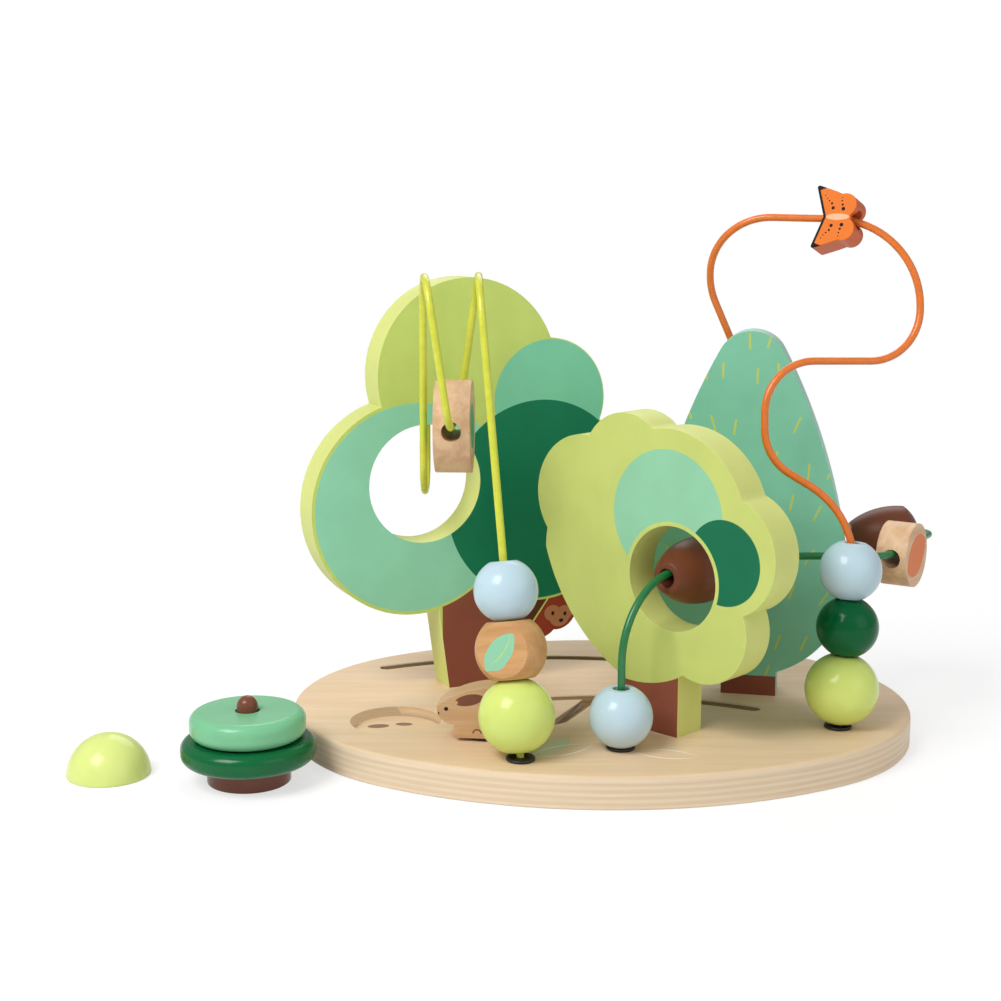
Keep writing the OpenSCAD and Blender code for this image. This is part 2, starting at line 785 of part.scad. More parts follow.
module large_disc_bead() {
    color("tan")
        disc_bead(lime_route[3], lime_route[4], large_disc_share, large_disc_d, large_disc_thickness);
}

module small_disc_bead() {
    color("tan")
        disc_bead(green_route[3], green_route[4], small_disc_share, small_disc_d, small_disc_thickness);
}

// An acorn with its small end first along a level stretch of wire
module acorn(from, to, share) {
    facing(from + share * (to - from) - [0, 0, acorn_hang], to - from)
        difference() {
            rotate_extrude()
                intersection() {
                    square([acorn_d, acorn_length]);
                    translate([acorn_d / 2 - acorn_arc, acorn_belly])
                        circle(r = acorn_arc);
                    translate([0, acorn_dome_z])
                        circle(r = acorn_dome);
                }
            translate([0, 0, -overrun])
                cylinder(d = acorn_bore, h = acorn_length + 2 * overrun);
        }
}

module front_acorn_bead() {
    color("saddlebrown")
        acorn(green_route[1], green_route[2], front_acorn_share);
}

module back_acorn_bead() {
    color("saddlebrown")
        acorn(green_route[5], green_route[4], back_acorn_share);
}

// One half of the butterfly: a pointed fore wing and a round hind wing
module wing() {
    linear_extrude(butterfly_thickness, center = true)
        polygon(fore_wing_shares * butterfly_span);
    translate([hind_wing_shares.x, hind_wing_shares.y, 0] * butterfly_span)
        cylinder(r = hind_wing_shares.z * butterfly_span, h = butterfly_thickness, center = true);
}

// A thick butterfly on the top stretch of the orange wire
module butterfly_bead() {
    way = orange_route[5] - orange_route[6];
    color("orangered")
        translate(orange_route[5] - butterfly_share * way - [0, 0, butterfly_hang])
            rotate(atan2(way.y, way.x) + butterfly_yaw)
                rotate([90 - butterfly_tilt, 0, butterfly_roll])
                    difference() {
                        union() {
                            wing();
                            mirror([0, 1, 0])
                                wing();
                        }
                        rotate([0, 90, 0])
                            cylinder(d = butterfly_bore, h = butterfly_span + overrun, center = true);
                    }
}

// Moves a piece to the rabbit's starting place
module at_rabbit(z) {
    translate([rabbit_start.x, rabbit_start.y, z])
        children();
}

// A round piece of the rabbit: along, up and radius
module rabbit_round(shares) {
    translate([shares.x, shares.y, 0] * rabbit_height)
        cylinder(r = shares.z * rabbit_height, h = rabbit_thickness);
}

// Thick rabbit of bare wood, with a hole underneath for the peg
module rabbit() {
    color("tan")
        at_rabbit(rabbit_z + rabbit_washer_thickness)
            rotate(rabbit_turn)
                difference() {
                    translate([0, rabbit_thickness / 2, 0])
                        rotate([90, 0, 0])
                            intersection() {
                                rabbit_round(rabbit_back_shares);
                                union() {
                                    rabbit_round(rabbit_head_shares);
                                    rabbit_round(rabbit_rump_shares);
                                    linear_extrude(rabbit_thickness)
                                        polygon(rabbit_body_shares * rabbit_height);
                                }
                            }
                    translate([0, 0, -overrun])
                        cylinder(d = peg_d + 2 * glue_gap, h = peg_grip + overrun);
                }
}

module rabbit_washer() {
    color("black")
        at_rabbit(rabbit_z)
            difference() {
                cylinder(d = washer_d, h = rabbit_washer_thickness);
                translate([0, 0, -overrun])
                    cylinder(d = peg_d + 2 * glue_gap, h = rabbit_washer_thickness + 2 * overrun);
            }
}

// Peg from the rabbit down through the slot to the keeper
module rabbit_peg() {
    color("dimgray")
        at_rabbit(keeper_rise)
            cylinder(d = peg_d, h = rabbit_z + rabbit_washer_thickness + peg_grip - glue_gap - keeper_rise);
}

// Disc on the peg that runs in the channel under the base
module peg_keeper() {
    color("dimgray")
        at_rabbit(keeper_rise)
            difference() {
                cylinder(d = keeper_d, h = keeper_thickness);
                translate([0, 0, -overrun])
                    cylinder(d = peg_d + 2 * glue_gap, h = keeper_thickness + 2 * overrun);
            }
}

module at_stack(z) {
    translate([stack_place.x, stack_place.y, z])
        children();
}

module stack_trunk() {
    color("saddlebrown")
        at_stack(0)
            difference() {
                cylinder(d = stack_trunk_d, h = stack_trunk_height);
                translate([0, 0, stack_peg_foot])
                    cylinder(d = stack_peg_d + 2 * glue_gap, h = stack_trunk_height);
            }
}

// Upright peg with a round tip
module stack_peg() {
    color("saddlebrown")
        at_stack(stack_peg_foot + glue_gap) {
            cylinder(d = stack_peg_d, h = stack_peg_top - stack_peg_foot - stack_peg_d / 2);
            translate([0, 0, stack_peg_top - stack_peg_foot - stack_peg_d / 2])
                sphere(d = stack_peg_d);
        }
}

// A turned ring with a round outer edge
module ring(d, thickness) {
    rotate_extrude() {
        translate([ring_bore / 2, 0])
            square([d / 2 - ring_edge - ring_bore / 2, thickness]);
        translate([ring_bore / 2, ring_edge])
            square([(d - ring_bore) / 2, thickness - 2 * ring_edge]);
        for (z = [ring_edge, thickness - ring_edge]) {
            translate([d / 2 - ring_edge, z])
                circle(r = ring_edge);
        }
    }
}

module dark_green_ring() {
    color("darkgreen")
        at_stack(dark_ring_z)
            ring(dark_ring_d, dark_ring_thickness);
}

module mint_ring() {
    color("mediumaquamarine")
        at_stack(mint_ring_z)
            ring(mint_ring_d, mint_ring_thickness);
}

// Half ball with a socket beneath for the peg's tip
module dome_top() {
    color("greenyellow")
        translate([dome_place.x, dome_place.y, 0])
            difference() {
                intersection() {
                    sphere(d = dome_d);
                    cylinder(d = dome_d + overrun, h = dome_d);
                }
                translate([0, 0, -overrun])
                    cylinder(d = ring_bore, h = dome_socket_depth + overrun);
            }
}

base_board();
cloud_tree();
flower_tree();
egg_tree();
tree_screws();
lime_wire();
green_wire();
orange_wire();
lime_wire_washer();
green_wire_washer();
orange_wire_washer();
lime_bead_left();
leaf_bead();
blue_bead_left();
large_disc_bead();
blue_bead_middle();
front_acorn_bead();
small_disc_bead();
back_acorn_bead();
lime_bead_right();
dark_green_bead();
blue_bead_right();
butterfly_bead();
rabbit();
rabbit_washer();
rabbit_peg();
peg_keeper();
stack_trunk();
stack_peg();
dark_green_ring();
mint_ring();
dome_top();
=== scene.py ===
import math

import bmesh
import bpy
from mathutils import Matrix, Vector


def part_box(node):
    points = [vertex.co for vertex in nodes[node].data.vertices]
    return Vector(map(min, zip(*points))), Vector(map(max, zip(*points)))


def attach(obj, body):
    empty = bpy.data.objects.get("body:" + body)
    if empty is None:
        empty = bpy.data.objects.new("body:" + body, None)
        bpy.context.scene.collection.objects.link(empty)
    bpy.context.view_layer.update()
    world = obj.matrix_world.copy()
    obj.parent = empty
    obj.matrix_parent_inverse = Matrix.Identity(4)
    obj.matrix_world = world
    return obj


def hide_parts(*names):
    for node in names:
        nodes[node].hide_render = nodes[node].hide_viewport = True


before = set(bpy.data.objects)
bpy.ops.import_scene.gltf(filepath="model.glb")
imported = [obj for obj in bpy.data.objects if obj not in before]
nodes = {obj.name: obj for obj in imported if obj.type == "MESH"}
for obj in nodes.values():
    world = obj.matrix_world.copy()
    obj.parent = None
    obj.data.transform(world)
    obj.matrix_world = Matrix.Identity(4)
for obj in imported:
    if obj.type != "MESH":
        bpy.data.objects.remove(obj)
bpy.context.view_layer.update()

# Base board: an oval of 15 mm birch plywood with a rounded top edge, clear lacquered.
# A round recess, a few paths and a slot are routed into it, and leaves and seeds are printed on it.
mm = 0.001
base_half_length = 150
base_half_width = 112.5
base_thickness = 15
base_top = base_thickness * mm
rim_margin = 6
rim_share = 0.9
edge_reach = 1 * mm
top_edge_round = 2.2 * mm
foot_edge_round = 0.8 * mm
ply_thickness = 2.9
ply_wobble_height = 0.5
# The routed grooves and the slot get a painted shade between these two heights.
groove_shade_top = base_thickness - 0.6
groove_shade_bottom = 9
recess_middle = (-98.55, -33.75)
recess_radius = 21.5
recess_spread = 0.6
recess_floor = 10
wall_top = base_thickness - 0.1
wall_bottom = recess_floor + 0.1
floor_top = recess_floor + 0.4
print_level = base_thickness - 0.05
seed_prints = (((-107.3, -27.5), 5.2, 2.9, 10), ((-95.2, -24.5), 4.0, 2.4, -4))
grey_leaf = ((-18, -59), (-37, -88), 14)
outlined_leaves = (((-7.5, -69), (-36, -86), 12), ((9.4, -78), (38.5, -86.5), 12))
leaf_outline = 0.7


def shader(tree, kind, **settings):
    made = tree.nodes.new("ShaderNode" + kind)
    for key, value in settings.items():
        setattr(made, key, value)
    return made


def feed(tree, socket, value):
    if isinstance(value, bpy.types.NodeSocket):
        tree.links.new(value, socket)
    else:
        socket.default_value = value


def calc(tree, operation, *terms):
    made = shader(tree, "Math", operation=operation)
    for socket, term in zip(made.inputs, terms):
        feed(tree, socket, term)
    return made.outputs[0]


def scaled(tree, value, share):
    return calc(tree, "MULTIPLY", value, share)


def under(tree, value, limit):
    return calc(tree, "LESS_THAN", value, limit)


def above(tree, value, limit):
    return calc(tree, "GREATER_THAN", value, limit)


def between(tree, value, low, high):
    """Rises softly from 0 at the low value to 1 at the high one."""
    made = shader(tree, "MapRange", interpolation_type="SMOOTHSTEP")
    feed(tree, made.inputs["Value"], value)
    made.inputs["From Min"].default_value = low
    made.inputs["From Max"].default_value = high
    return made.outputs["Result"]


def both(tree, *masks):
    result = masks[0]
    for mask in masks[1:]:
        result = calc(tree, "MULTIPLY", result, mask)
    return result


def either(tree, *masks):
    result = masks[0]
    for mask in masks[1:]:
        result = calc(tree, "MAXIMUM", result, mask)
    return result


def outside(tree, mask):
    return calc(tree, "SUBTRACT", 1, mask)


def coat_over(tree, mask, under_coat, over_coat):
    made = shader(tree, "Mix", data_type="RGBA")
    feed(tree, made.inputs[0], mask)
    feed(tree, made.inputs[6], under_coat)
    feed(tree, made.inputs[7], over_coat)
    return made.outputs[2]


def tint(red, green, blue):
    """A paint's colour as seen on a screen, 0 to 255, in the linear values that shaders take."""
    def linear(level):
        share = level / 255
        return share / 12.92 if share <= 0.04045 else ((share + 0.055) / 1.055) ** 2.4
    return (linear(red), linear(green), linear(blue), 1)


def shade_of(colour, share):
    return tuple(min(1, level * share) for level in colour[:3]) + (1,)


def in_mm(tree, place=(0, 0, 0), turn=(0, 0, 0)):
    """Millimetres from a piece's own place, along its own directions."""
    mapping = shader(tree, "Mapping", vector_type="TEXTURE")
    mapping.inputs["Location"].default_value = place
    mapping.inputs["Rotation"].default_value = turn
    mapping.inputs["Scale"].default_value = (mm, mm, mm)
    tree.links.new(shader(tree, "TexCoord").outputs["Object"], mapping.inputs["Vector"])
    return mapping.outputs["Vector"]


def axes_of(tree, vector):
    made = shader(tree, "SeparateXYZ")
    tree.links.new(vector, made.inputs[0])
    return made.outputs[0], made.outputs[1], made.outputs[2]


def node_group(name, inputs, outputs):
    tree = bpy.data.node_groups.new(name, "ShaderNodeTree")
    for title, kind in inputs:
        tree.interface.new_socket(title, in_out="INPUT", socket_type="NodeSocket" + kind)
    for title, kind in outputs:
        tree.interface.new_socket(title, in_out="OUTPUT", socket_type="NodeSocket" + kind)
    return tree, tree.nodes.new("NodeGroupInput").outputs, tree.nodes.new("NodeGroupOutput").inputs


def placed(tree, group, **values):
    made = shader(tree, "Group", node_tree=group)
    for title, value in values.items():
        feed(tree, made.inputs[title.replace("_", " ")], value)
    return made.outputs


def streaks(tree, vector, stretch, detail, twist=0.0):
    """Noise drawn out along one direction; stretch is its count per millimetre along each axis."""
    mapping = shader(tree, "Mapping")
    mapping.inputs["Scale"].default_value = stretch
    tree.links.new(vector, mapping.inputs["Vector"])
    noise = shader(tree, "TexNoise")
    noise.inputs["Scale"].default_value = 1
    noise.inputs["Detail"].default_value = detail
    noise.inputs["Roughness"].default_value = 0.55
    noise.inputs["Distortion"].default_value = twist
    tree.links.new(mapping.outputs["Vector"], noise.inputs["Vector"])
    return noise.outputs["Fac"]


wood_grain, grain_in, grain_out = node_group(
    "wood_grain", [("Point", "Vector")], [("Figure", "Float"), ("Pores", "Float")])
broad_figure = streaks(wood_grain, grain_in["Point"], (0.012, 0.16, 0.16), 4, 0.6)
wood_grain.links.new(between(wood_grain, broad_figure, 0.32, 0.7), grain_out["Figure"])
fine_pores = streaks(wood_grain, grain_in["Point"], (0.09, 2.6, 2.6), 2)
wood_grain.links.new(between(wood_grain, fine_pores, 0.5, 0.72), grain_out["Pores"])

oval_inputs = ("Across", "Up", "Middle across", "Middle up", "Half length", "Half width", "Turn")
print_softness = 0.08
printed_oval, oval_in, oval_out = node_group(
    "printed_oval", [(title, "Float") for title in oval_inputs], [("Mask", "Float")])
from_middle = calc(printed_oval, "SUBTRACT", oval_in["Across"], oval_in["Middle across"])
over_middle = calc(printed_oval, "SUBTRACT", oval_in["Up"], oval_in["Middle up"])
turn_cos = calc(printed_oval, "COSINE", oval_in["Turn"])
turn_sin = calc(printed_oval, "SINE", oval_in["Turn"])
along_oval = calc(printed_oval, "ADD", calc(printed_oval, "MULTIPLY", from_middle, turn_cos),
                  calc(printed_oval, "MULTIPLY", over_middle, turn_sin))
across_oval = calc(printed_oval, "SUBTRACT", calc(printed_oval, "MULTIPLY", over_middle, turn_cos),
                   calc(printed_oval, "MULTIPLY", from_middle, turn_sin))
length_share = calc(printed_oval, "DIVIDE", along_oval, oval_in["Half length"])
width_share = calc(printed_oval, "DIVIDE", across_oval, oval_in["Half width"])
reach = calc(printed_oval, "SQRT", calc(printed_oval, "ADD", calc(printed_oval, "POWER", length_share, 2),
                                        calc(printed_oval, "POWER", width_share, 2)))
short_half = calc(printed_oval, "MINIMUM", oval_in["Half length"], oval_in["Half width"])
inside = calc(printed_oval, "MULTIPLY", outside(printed_oval, reach), short_half)
printed_oval.links.new(between(printed_oval, inside, -print_softness, print_softness), oval_out["Mask"])


def oval(tree, across, up, middle, half_length, half_width=None, turn=0.0):
    made = placed(tree, printed_oval, Across=across, Up=up, Middle_across=middle[0], Middle_up=middle[1],
                  Half_length=half_length, Half_width=half_width or half_length, Turn=math.radians(turn))
    return made["Mask"]


def ovals(tree, across, up, places):
    return either(tree, *[oval(tree, across, up, *place) for place in places])


def leaf_shape(tree, across, up, tip, foot, width):
    """A pointed leaf between two points: where two equal discs overlap."""
    way = (foot[0] - tip[0], foot[1] - tip[1])
    half = math.hypot(*way) / 2
    radius = (half ** 2 + (width / 2) ** 2) / width
    aside = radius - width / 2
    normal = (-way[1] / (2 * half), way[0] / (2 * half))
    middle = ((tip[0] + foot[0]) / 2, (tip[1] + foot[1]) / 2)
    discs = []
    for side in (-aside, aside):
        disc_middle = (middle[0] + side * normal[0], middle[1] + side * normal[1])
        discs.append(oval(tree, across, up, disc_middle, radius))
    return both(tree, *discs)


def leaf_line(tree, across, up, tip, foot, width, line):
    return both(tree, leaf_shape(tree, across, up, tip, foot, width),
                outside(tree, leaf_shape(tree, across, up, tip, foot, width - 2 * line)))


def new_finish(name):
    material = bpy.data.materials.new(name)
    material.use_nodes = True
    tree = material.node_tree
    return material, tree, tree.nodes["Principled BSDF"]


def roughen(tree, skin, least, mask, rise):
    tree.links.new(calc(tree, "ADD", least, scaled(tree, mask, rise)), skin.inputs["Roughness"])


def relief(tree, skin, height, depth, strength):
    bump = shader(tree, "Bump")
    bump.inputs["Strength"].default_value = strength
    bump.inputs["Distance"].default_value = depth
    feed(tree, bump.inputs["Height"], height)
    tree.links.new(bump.outputs["Normal"], skin.inputs["Normal"])


birch_light = tint(236, 207, 173)
birch_dark = tint(230, 199, 161)
ply_light = tint(238, 217, 188)
ply_dark = tint(229, 204, 171)
# Painted shade colour for the routed grooves and the slot.
groove_shade_brown = tint(142, 112, 74)
# Painted shade colour for the wall of the round recess, darker than the birch around it.
recess_wall_shade = tint(214, 180, 138)
seed_brown = tint(142, 106, 82)
leaf_white = tint(255, 254, 250)
leaf_grey = tint(204, 212, 180)
pore_depth = 0.05 * mm
birch_pore_share = 0.25
birch_pore_shade = 0.8
end_grain_share = 0.4
end_grain_shade = 0.85
groove_shade_share = 0.95
grey_leaf_share = 0.85

plywood, tree, skin = new_finish("birch_plywood")
point = in_mm(tree)
x, y, z = axes_of(tree, point)
grain = placed(tree, wood_grain, Point=point)
face_wood = coat_over(tree, grain["Figure"], birch_light, birch_dark)
pores = scaled(tree, grain["Pores"], birch_pore_share)
face_wood = coat_over(tree, pores, face_wood, shade_of(birch_dark, birch_pore_shade))
ply_wobble = scaled(tree, streaks(tree, point, (0.03, 0.03, 0.1), 2), ply_wobble_height)
ply_place = calc(tree, "FRACT", calc(tree, "DIVIDE", calc(tree, "ADD", z, ply_wobble), ply_thickness))
ply_side = between(tree, calc(tree, "ABSOLUTE", calc(tree, "SUBTRACT", ply_place, 0.5)), 0.08, 0.42)
edge_wood = coat_over(tree, ply_side, ply_light, ply_dark)
end_grain = between(tree, streaks(tree, point, (0.03, 0.03, 1.5), 4), 0.4, 0.75)
end_lines = scaled(tree, end_grain, end_grain_share)
edge_wood = coat_over(tree, end_lines, edge_wood, shade_of(ply_dark, end_grain_shade))
facing = axes_of(tree, shader(tree, "NewGeometry").outputs["True Normal"])
upright = calc(tree, "ABSOLUTE", facing[2])
wood = coat_over(tree, between(tree, upright, 0.55, 0.95), edge_wood, face_wood)
in_recess = oval(tree, x, y, recess_middle, recess_radius + recess_spread)
off_rim = oval(tree, x, y, (0, 0), base_half_length - rim_margin, base_half_width - rim_margin)
# Painted shade: the grooves and the slot, inside the rim and outside the recess, are tinted dark brown.
in_groove_shade = both(tree, under(tree, z, groove_shade_top), above(tree, z, groove_shade_bottom))
routed = both(tree, in_groove_shade, off_rim, outside(tree, in_recess))
wood = coat_over(tree, scaled(tree, routed, groove_shade_share), wood, groove_shade_brown)
# Painted shade: the wall of the round recess is tinted a darker tan.
on_wall = both(tree, in_recess, under(tree, z, wall_top), above(tree, z, wall_bottom))
wood = coat_over(tree, on_wall, wood, recess_wall_shade)
on_floor = both(tree, in_recess, under(tree, z, floor_top))
wood = coat_over(tree, both(tree, on_floor, ovals(tree, x, y, seed_prints)), wood, seed_brown)
on_top = above(tree, z, print_level)
pale_leaf = scaled(tree, leaf_shape(tree, x, y, *grey_leaf), grey_leaf_share)
wood = coat_over(tree, both(tree, on_top, pale_leaf), wood, leaf_grey)
leaf_lines = either(tree, *[leaf_line(tree, x, y, *leaf, leaf_outline) for leaf in outlined_leaves])
wood = coat_over(tree, both(tree, on_top, leaf_lines), wood, leaf_white)
tree.links.new(wood, skin.inputs["Base Color"])
roughen(tree, skin, 0.42, grain["Figure"], 0.1)
skin.inputs["Specular IOR Level"].default_value = 0.3
relief(tree, skin, grain["Pores"], pore_depth, 0.3)


def merged_copy(node):
    """The node's own mesh with its loose triangles joined and its flat faces made whole."""
    weld_gap = 0.002 * mm
    flat_limit = math.radians(0.3)
    mesh = bmesh.new()
    mesh.from_mesh(nodes[node].data)
    bmesh.ops.remove_doubles(mesh, verts=mesh.verts, dist=weld_gap)
    bmesh.ops.dissolve_limit(mesh, angle_limit=flat_limit, verts=mesh.verts, edges=mesh.edges)
    return mesh


def sharp_edges(mesh, least, chosen=lambda edge: True):
    return [edge for edge in mesh.edges
            if edge.is_manifold and edge.calc_face_angle() > math.radians(least) and chosen(edge)]


def ease(mesh, edges, width, segments=3):
    bmesh.ops.bevel(mesh, geom=edges, offset=width, offset_type="OFFSET", segments=segments, profile=0.5,
                    affect="EDGES", material=-1, clamp_overlap=True)


def finished(mesh, name, node, body, material):
    crease_limit = math.radians(50)
    data = bpy.data.meshes.new(name)
    mesh.to_mesh(data)
    mesh.free()
    data.shade_smooth()
    data.set_sharp_from_angle(angle=crease_limit)
    data.materials.append(material)
    piece = bpy.data.objects.new(name, data)
    bpy.context.scene.collection.objects.link(piece)
    even = piece.modifiers.new("even_shading", "WEIGHTED_NORMAL")
    even.keep_sharp = True
    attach(piece, body)
    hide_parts(node)


def on_rim(edge):
    middle = (edge.verts[0].co + edge.verts[1].co) / 2 / mm
    return (middle.x / base_half_length) ** 2 + (middle.y / base_half_width) ** 2 > rim_share


def on_top_rim(edge):
    return on_rim(edge) and min(vert.co.z for vert in edge.verts) > base_top - edge_reach


def on_foot_rim(edge):
    return on_rim(edge) and max(vert.co.z for vert in edge.verts) < edge_reach


mesh = merged_copy("base_board")
ease(mesh, sharp_edges(mesh, 60, on_top_rim), top_edge_round, 5)
ease(mesh, sharp_edges(mesh, 60, on_foot_rim), foot_edge_round, 2)
finished(mesh, "oval_base", "base_board", "maze", plywood)

# Tree boards: three outlines sawn from 18 mm board, with rounded edges painted lime or pale teal.
# Their faces are printed with plain discs of green; each trunk is tenoned into the base.
board_thickness = 18
board_round = 1.1 * mm
face_skin = 0.05
brush_marks = 0.04 * mm
lime_edge = tint(219, 226, 134)
lime_face = tint(202, 214, 119)
mint = tint(148, 209, 171)
dark_green = tint(14, 112, 76)
trunk_brown = tint(146, 82, 63)
ink_black = tint(22, 18, 16)
paint_thin = (0.93, 0.93, 0.93, 1)
paint_full = (1, 1, 1, 1)

paint_skin, paint_in, paint_out = node_group(
    "paint_skin", [("Point", "Vector")], [("Patches", "Float"), ("Brushing", "Float")])
paint_patches = streaks(paint_skin, paint_in["Point"], (0.035, 0.035, 0.035), 3)
paint_skin.links.new(between(paint_skin, paint_patches, 0.3, 0.7), paint_out["Patches"])
paint_skin.links.new(streaks(paint_skin, paint_in["Point"], (1.5, 1.5, 0.06), 3), paint_out["Brushing"])


def painted(name, colour, place=(0, 0, 0), turn=(0, 0, 0), prints=None, rough=0.42, shine=0.25,
            brush_depth=brush_marks):
    """Lacquered wood: the colour drifts a little, and the grain shows faintly through the coat."""
    material, tree, skin = new_finish(name)
    point = in_mm(tree, place, turn)
    paint = placed(tree, paint_skin, Point=point)
    if prints:
        colour = prints(tree, *axes_of(tree, point))
    drifting = shader(tree, "Mix", data_type="RGBA", blend_type="MULTIPLY")
    drifting.inputs[0].default_value = 1
    feed(tree, drifting.inputs[6], colour)
    tree.links.new(coat_over(tree, paint["Patches"], paint_thin, paint_full), drifting.inputs[7])
    tree.links.new(drifting.outputs[2], skin.inputs["Base Color"])
    roughen(tree, skin, rough, paint["Brushing"], 0.12)
    skin.inputs["Specular IOR Level"].default_value = shine
    relief(tree, skin, paint["Brushing"], brush_depth, 0.35)
    return material


def on_faces(tree, y):
    """The two flat faces of a board, up to where its edges start to round."""
    return either(tree, under(tree, y, face_skin), above(tree, y, board_thickness - face_skin))


cloud_lime = tint(207, 227, 120)
cloud_mint = tint(153, 225, 190)
cloud_dark = tint(6, 126, 86)
mid_mint = tint(132, 216, 176)
squirrel_red = tint(158, 62, 38)
squirrel_tan = tint(190, 128, 88)
deep_brown = tint(96, 50, 26)
cloud_left_disc = ((-36.8, 93.3), 51.6)
cloud_right_disc = ((30.8, 92.5), 50.8)
cloud_top_disc = ((35.7, 143.2), 30.3)
leaf_rim = 1.2
cloud_trunk_top = 62
cloud_trunk_left = -23
squirrel_left = 23
squirrel_back = (28.0, 31.0)
squirrel_slope = 0.75
squirrel_gap = (-0.5, 0.6)
trunk_shade_width = 6.5
trunk_shade_span = (29, 60)
squirrel_face = (((38.0, 32.8), 4.6, 4.2), ((44.6, 32.0), 4.6, 4.2), ((41.9, 29.6), 5.4, 4.2))
squirrel_dots = (((38.2, 32.6), 0.85, 1.1), ((45.2, 31.8), 0.85, 1.1), ((43.0, 28.4), 1.2, 0.95))


def cloud_print(tree, x, y, z):
    """Four discs of leaves over a brown trunk, with a red squirrel that looks out from behind it."""
    colour = coat_over(tree, oval(tree, x, z, *cloud_top_disc), cloud_lime, mid_mint)
    leaves = ovals(tree, x, z, [(middle, radius + leaf_rim)
                                for middle, radius in (cloud_left_disc, cloud_right_disc)])
    low = both(tree, under(tree, z, cloud_trunk_top), above(tree, x, cloud_trunk_left), outside(tree, leaves))
    rise = calc(tree, "SUBTRACT", z, squirrel_back[1])
    beyond = calc(tree, "SUBTRACT", calc(tree, "SUBTRACT", x, squirrel_back[0]),
                  scaled(tree, rise, squirrel_slope))
    aside = above(tree, x, squirrel_left)
    before = under(tree, beyond, squirrel_gap[0])
    on_trunk = both(tree, low, either(tree, before, outside(tree, aside)))
    colour = coat_over(tree, on_trunk, colour, trunk_brown)
    in_shade = both(tree, low, before, above(tree, beyond, -trunk_shade_width),
                    above(tree, z, trunk_shade_span[0]), under(tree, z, trunk_shade_span[1]))
    colour = coat_over(tree, in_shade, colour, deep_brown)
    on_squirrel = both(tree, low, aside, above(tree, beyond, squirrel_gap[1]))
    colour = coat_over(tree, on_squirrel, colour, squirrel_red)
    colour = coat_over(tree, both(tree, low, ovals(tree, x, z, squirrel_face)), colour, squirrel_tan)
    colour = coat_over(tree, both(tree, low, ovals(tree, x, z, squirrel_dots)), colour, ink_black)
    colour = coat_over(tree, oval(tree, x, z, *cloud_left_disc), colour, cloud_mint)
    colour = coat_over(tree, oval(tree, x, z, *cloud_right_disc), colour, cloud_dark)
    return coat_over(tree, on_faces(tree, y), lime_edge, colour)


flower_mint_disc = ((9.3, 101.6), 30.7)
flower_dark_disc = ((40.9, 85.0), 19.3)
flower_hole_ring = ((12.56, 73.44), 26.2)
flower_skirt = (((23.2, 105.6), 90.9), ((-8.5, 76.9), 55.0))
flower_low_scallop = ((29.5, 52.6), 24.5)
flower_trunk_limit = 42


def flower_print(tree, x, y, z):
    """A mint and a dark disc beside the hole, which keeps a lime ring, and a brown trunk below."""
    colour = coat_over(tree, oval(tree, x, z, *flower_mint_disc), lime_face, mint)
    colour = coat_over(tree, oval(tree, x, z, *flower_dark_disc), colour, dark_green)
    colour = coat_over(tree, oval(tree, x, z, *flower_hole_ring), colour, lime_face)
    skirt = both(tree, *[oval(tree, x, z, *disc) for disc in flower_skirt])
    leaves = either(tree, skirt, oval(tree, x, z, *flower_low_scallop), above(tree, z, flower_trunk_limit))
    colour = coat_over(tree, outside(tree, leaves), colour, trunk_brown)
    return coat_over(tree, on_faces(tree, y), lime_edge, colour)


egg_teal = tint(132, 202, 170)
egg_edge = tint(170, 214, 198)
egg_brown = tint(140, 76, 56)
egg_trunk_top = 9.9
needle_lime = tint(200, 212, 96)
needle_cell = (13.0, 21.0)
needle_half_width = 0.5
needle_half_length = 3.9
needle_stray_share = 0.5
needle_lean = 0.5
needle_lean_outwards = 0.012


def egg_print(tree, x, y, z):
    """Short dashes like needles: one in each cell of a grid, shifted and turned by chance."""
    row = calc(tree, "FLOOR", calc(tree, "DIVIDE", z, needle_cell[1]))
    shifted = calc(tree, "ADD", x, scaled(tree, calc(tree, "MODULO", row, 2.0), needle_cell[0] / 2))
    column = calc(tree, "FLOOR", calc(tree, "DIVIDE", shifted, needle_cell[0]))
    pair = shader(tree, "CombineXYZ")
    tree.links.new(column, pair.inputs[0])
    tree.links.new(row, pair.inputs[1])
    chance = shader(tree, "TexWhiteNoise", noise_dimensions="2D")
    tree.links.new(pair.outputs[0], chance.inputs["Vector"])
    first, second, third = axes_of(tree, chance.outputs["Color"])

    def in_cell(value, cell, size, luck):
        middle = scaled(tree, calc(tree, "ADD", cell, 0.5), size)
        stray = scaled(tree, calc(tree, "SUBTRACT", luck, 0.5), size * needle_stray_share)
        return calc(tree, "SUBTRACT", calc(tree, "SUBTRACT", value, middle), stray)

    across = in_cell(shifted, column, needle_cell[0], first)
    up = in_cell(z, row, needle_cell[1], second)
    lean = calc(tree, "ADD", scaled(tree, calc(tree, "SUBTRACT", third, 0.5), needle_lean),
                scaled(tree, x, needle_lean_outwards))
    across = calc(tree, "SUBTRACT", across, calc(tree, "MULTIPLY", up, lean))
    dash = both(tree, under(tree, calc(tree, "ABSOLUTE", across), needle_half_width),
                under(tree, calc(tree, "ABSOLUTE", up), needle_half_length))
    colour = coat_over(tree, dash, egg_teal, needle_lime)
    colour = coat_over(tree, under(tree, z, egg_trunk_top), colour, egg_brown)
    return coat_over(tree, on_faces(tree, y), egg_edge, colour)


def eased_piece(node, suffix, body, material, width, least=50):
    """A piece in the node's own shape, with the edges sharper than the least angle rounded."""
    mesh = merged_copy(node)
    ease(mesh, sharp_edges(mesh, least), width)
    finished(mesh, node + suffix, node, body, material)


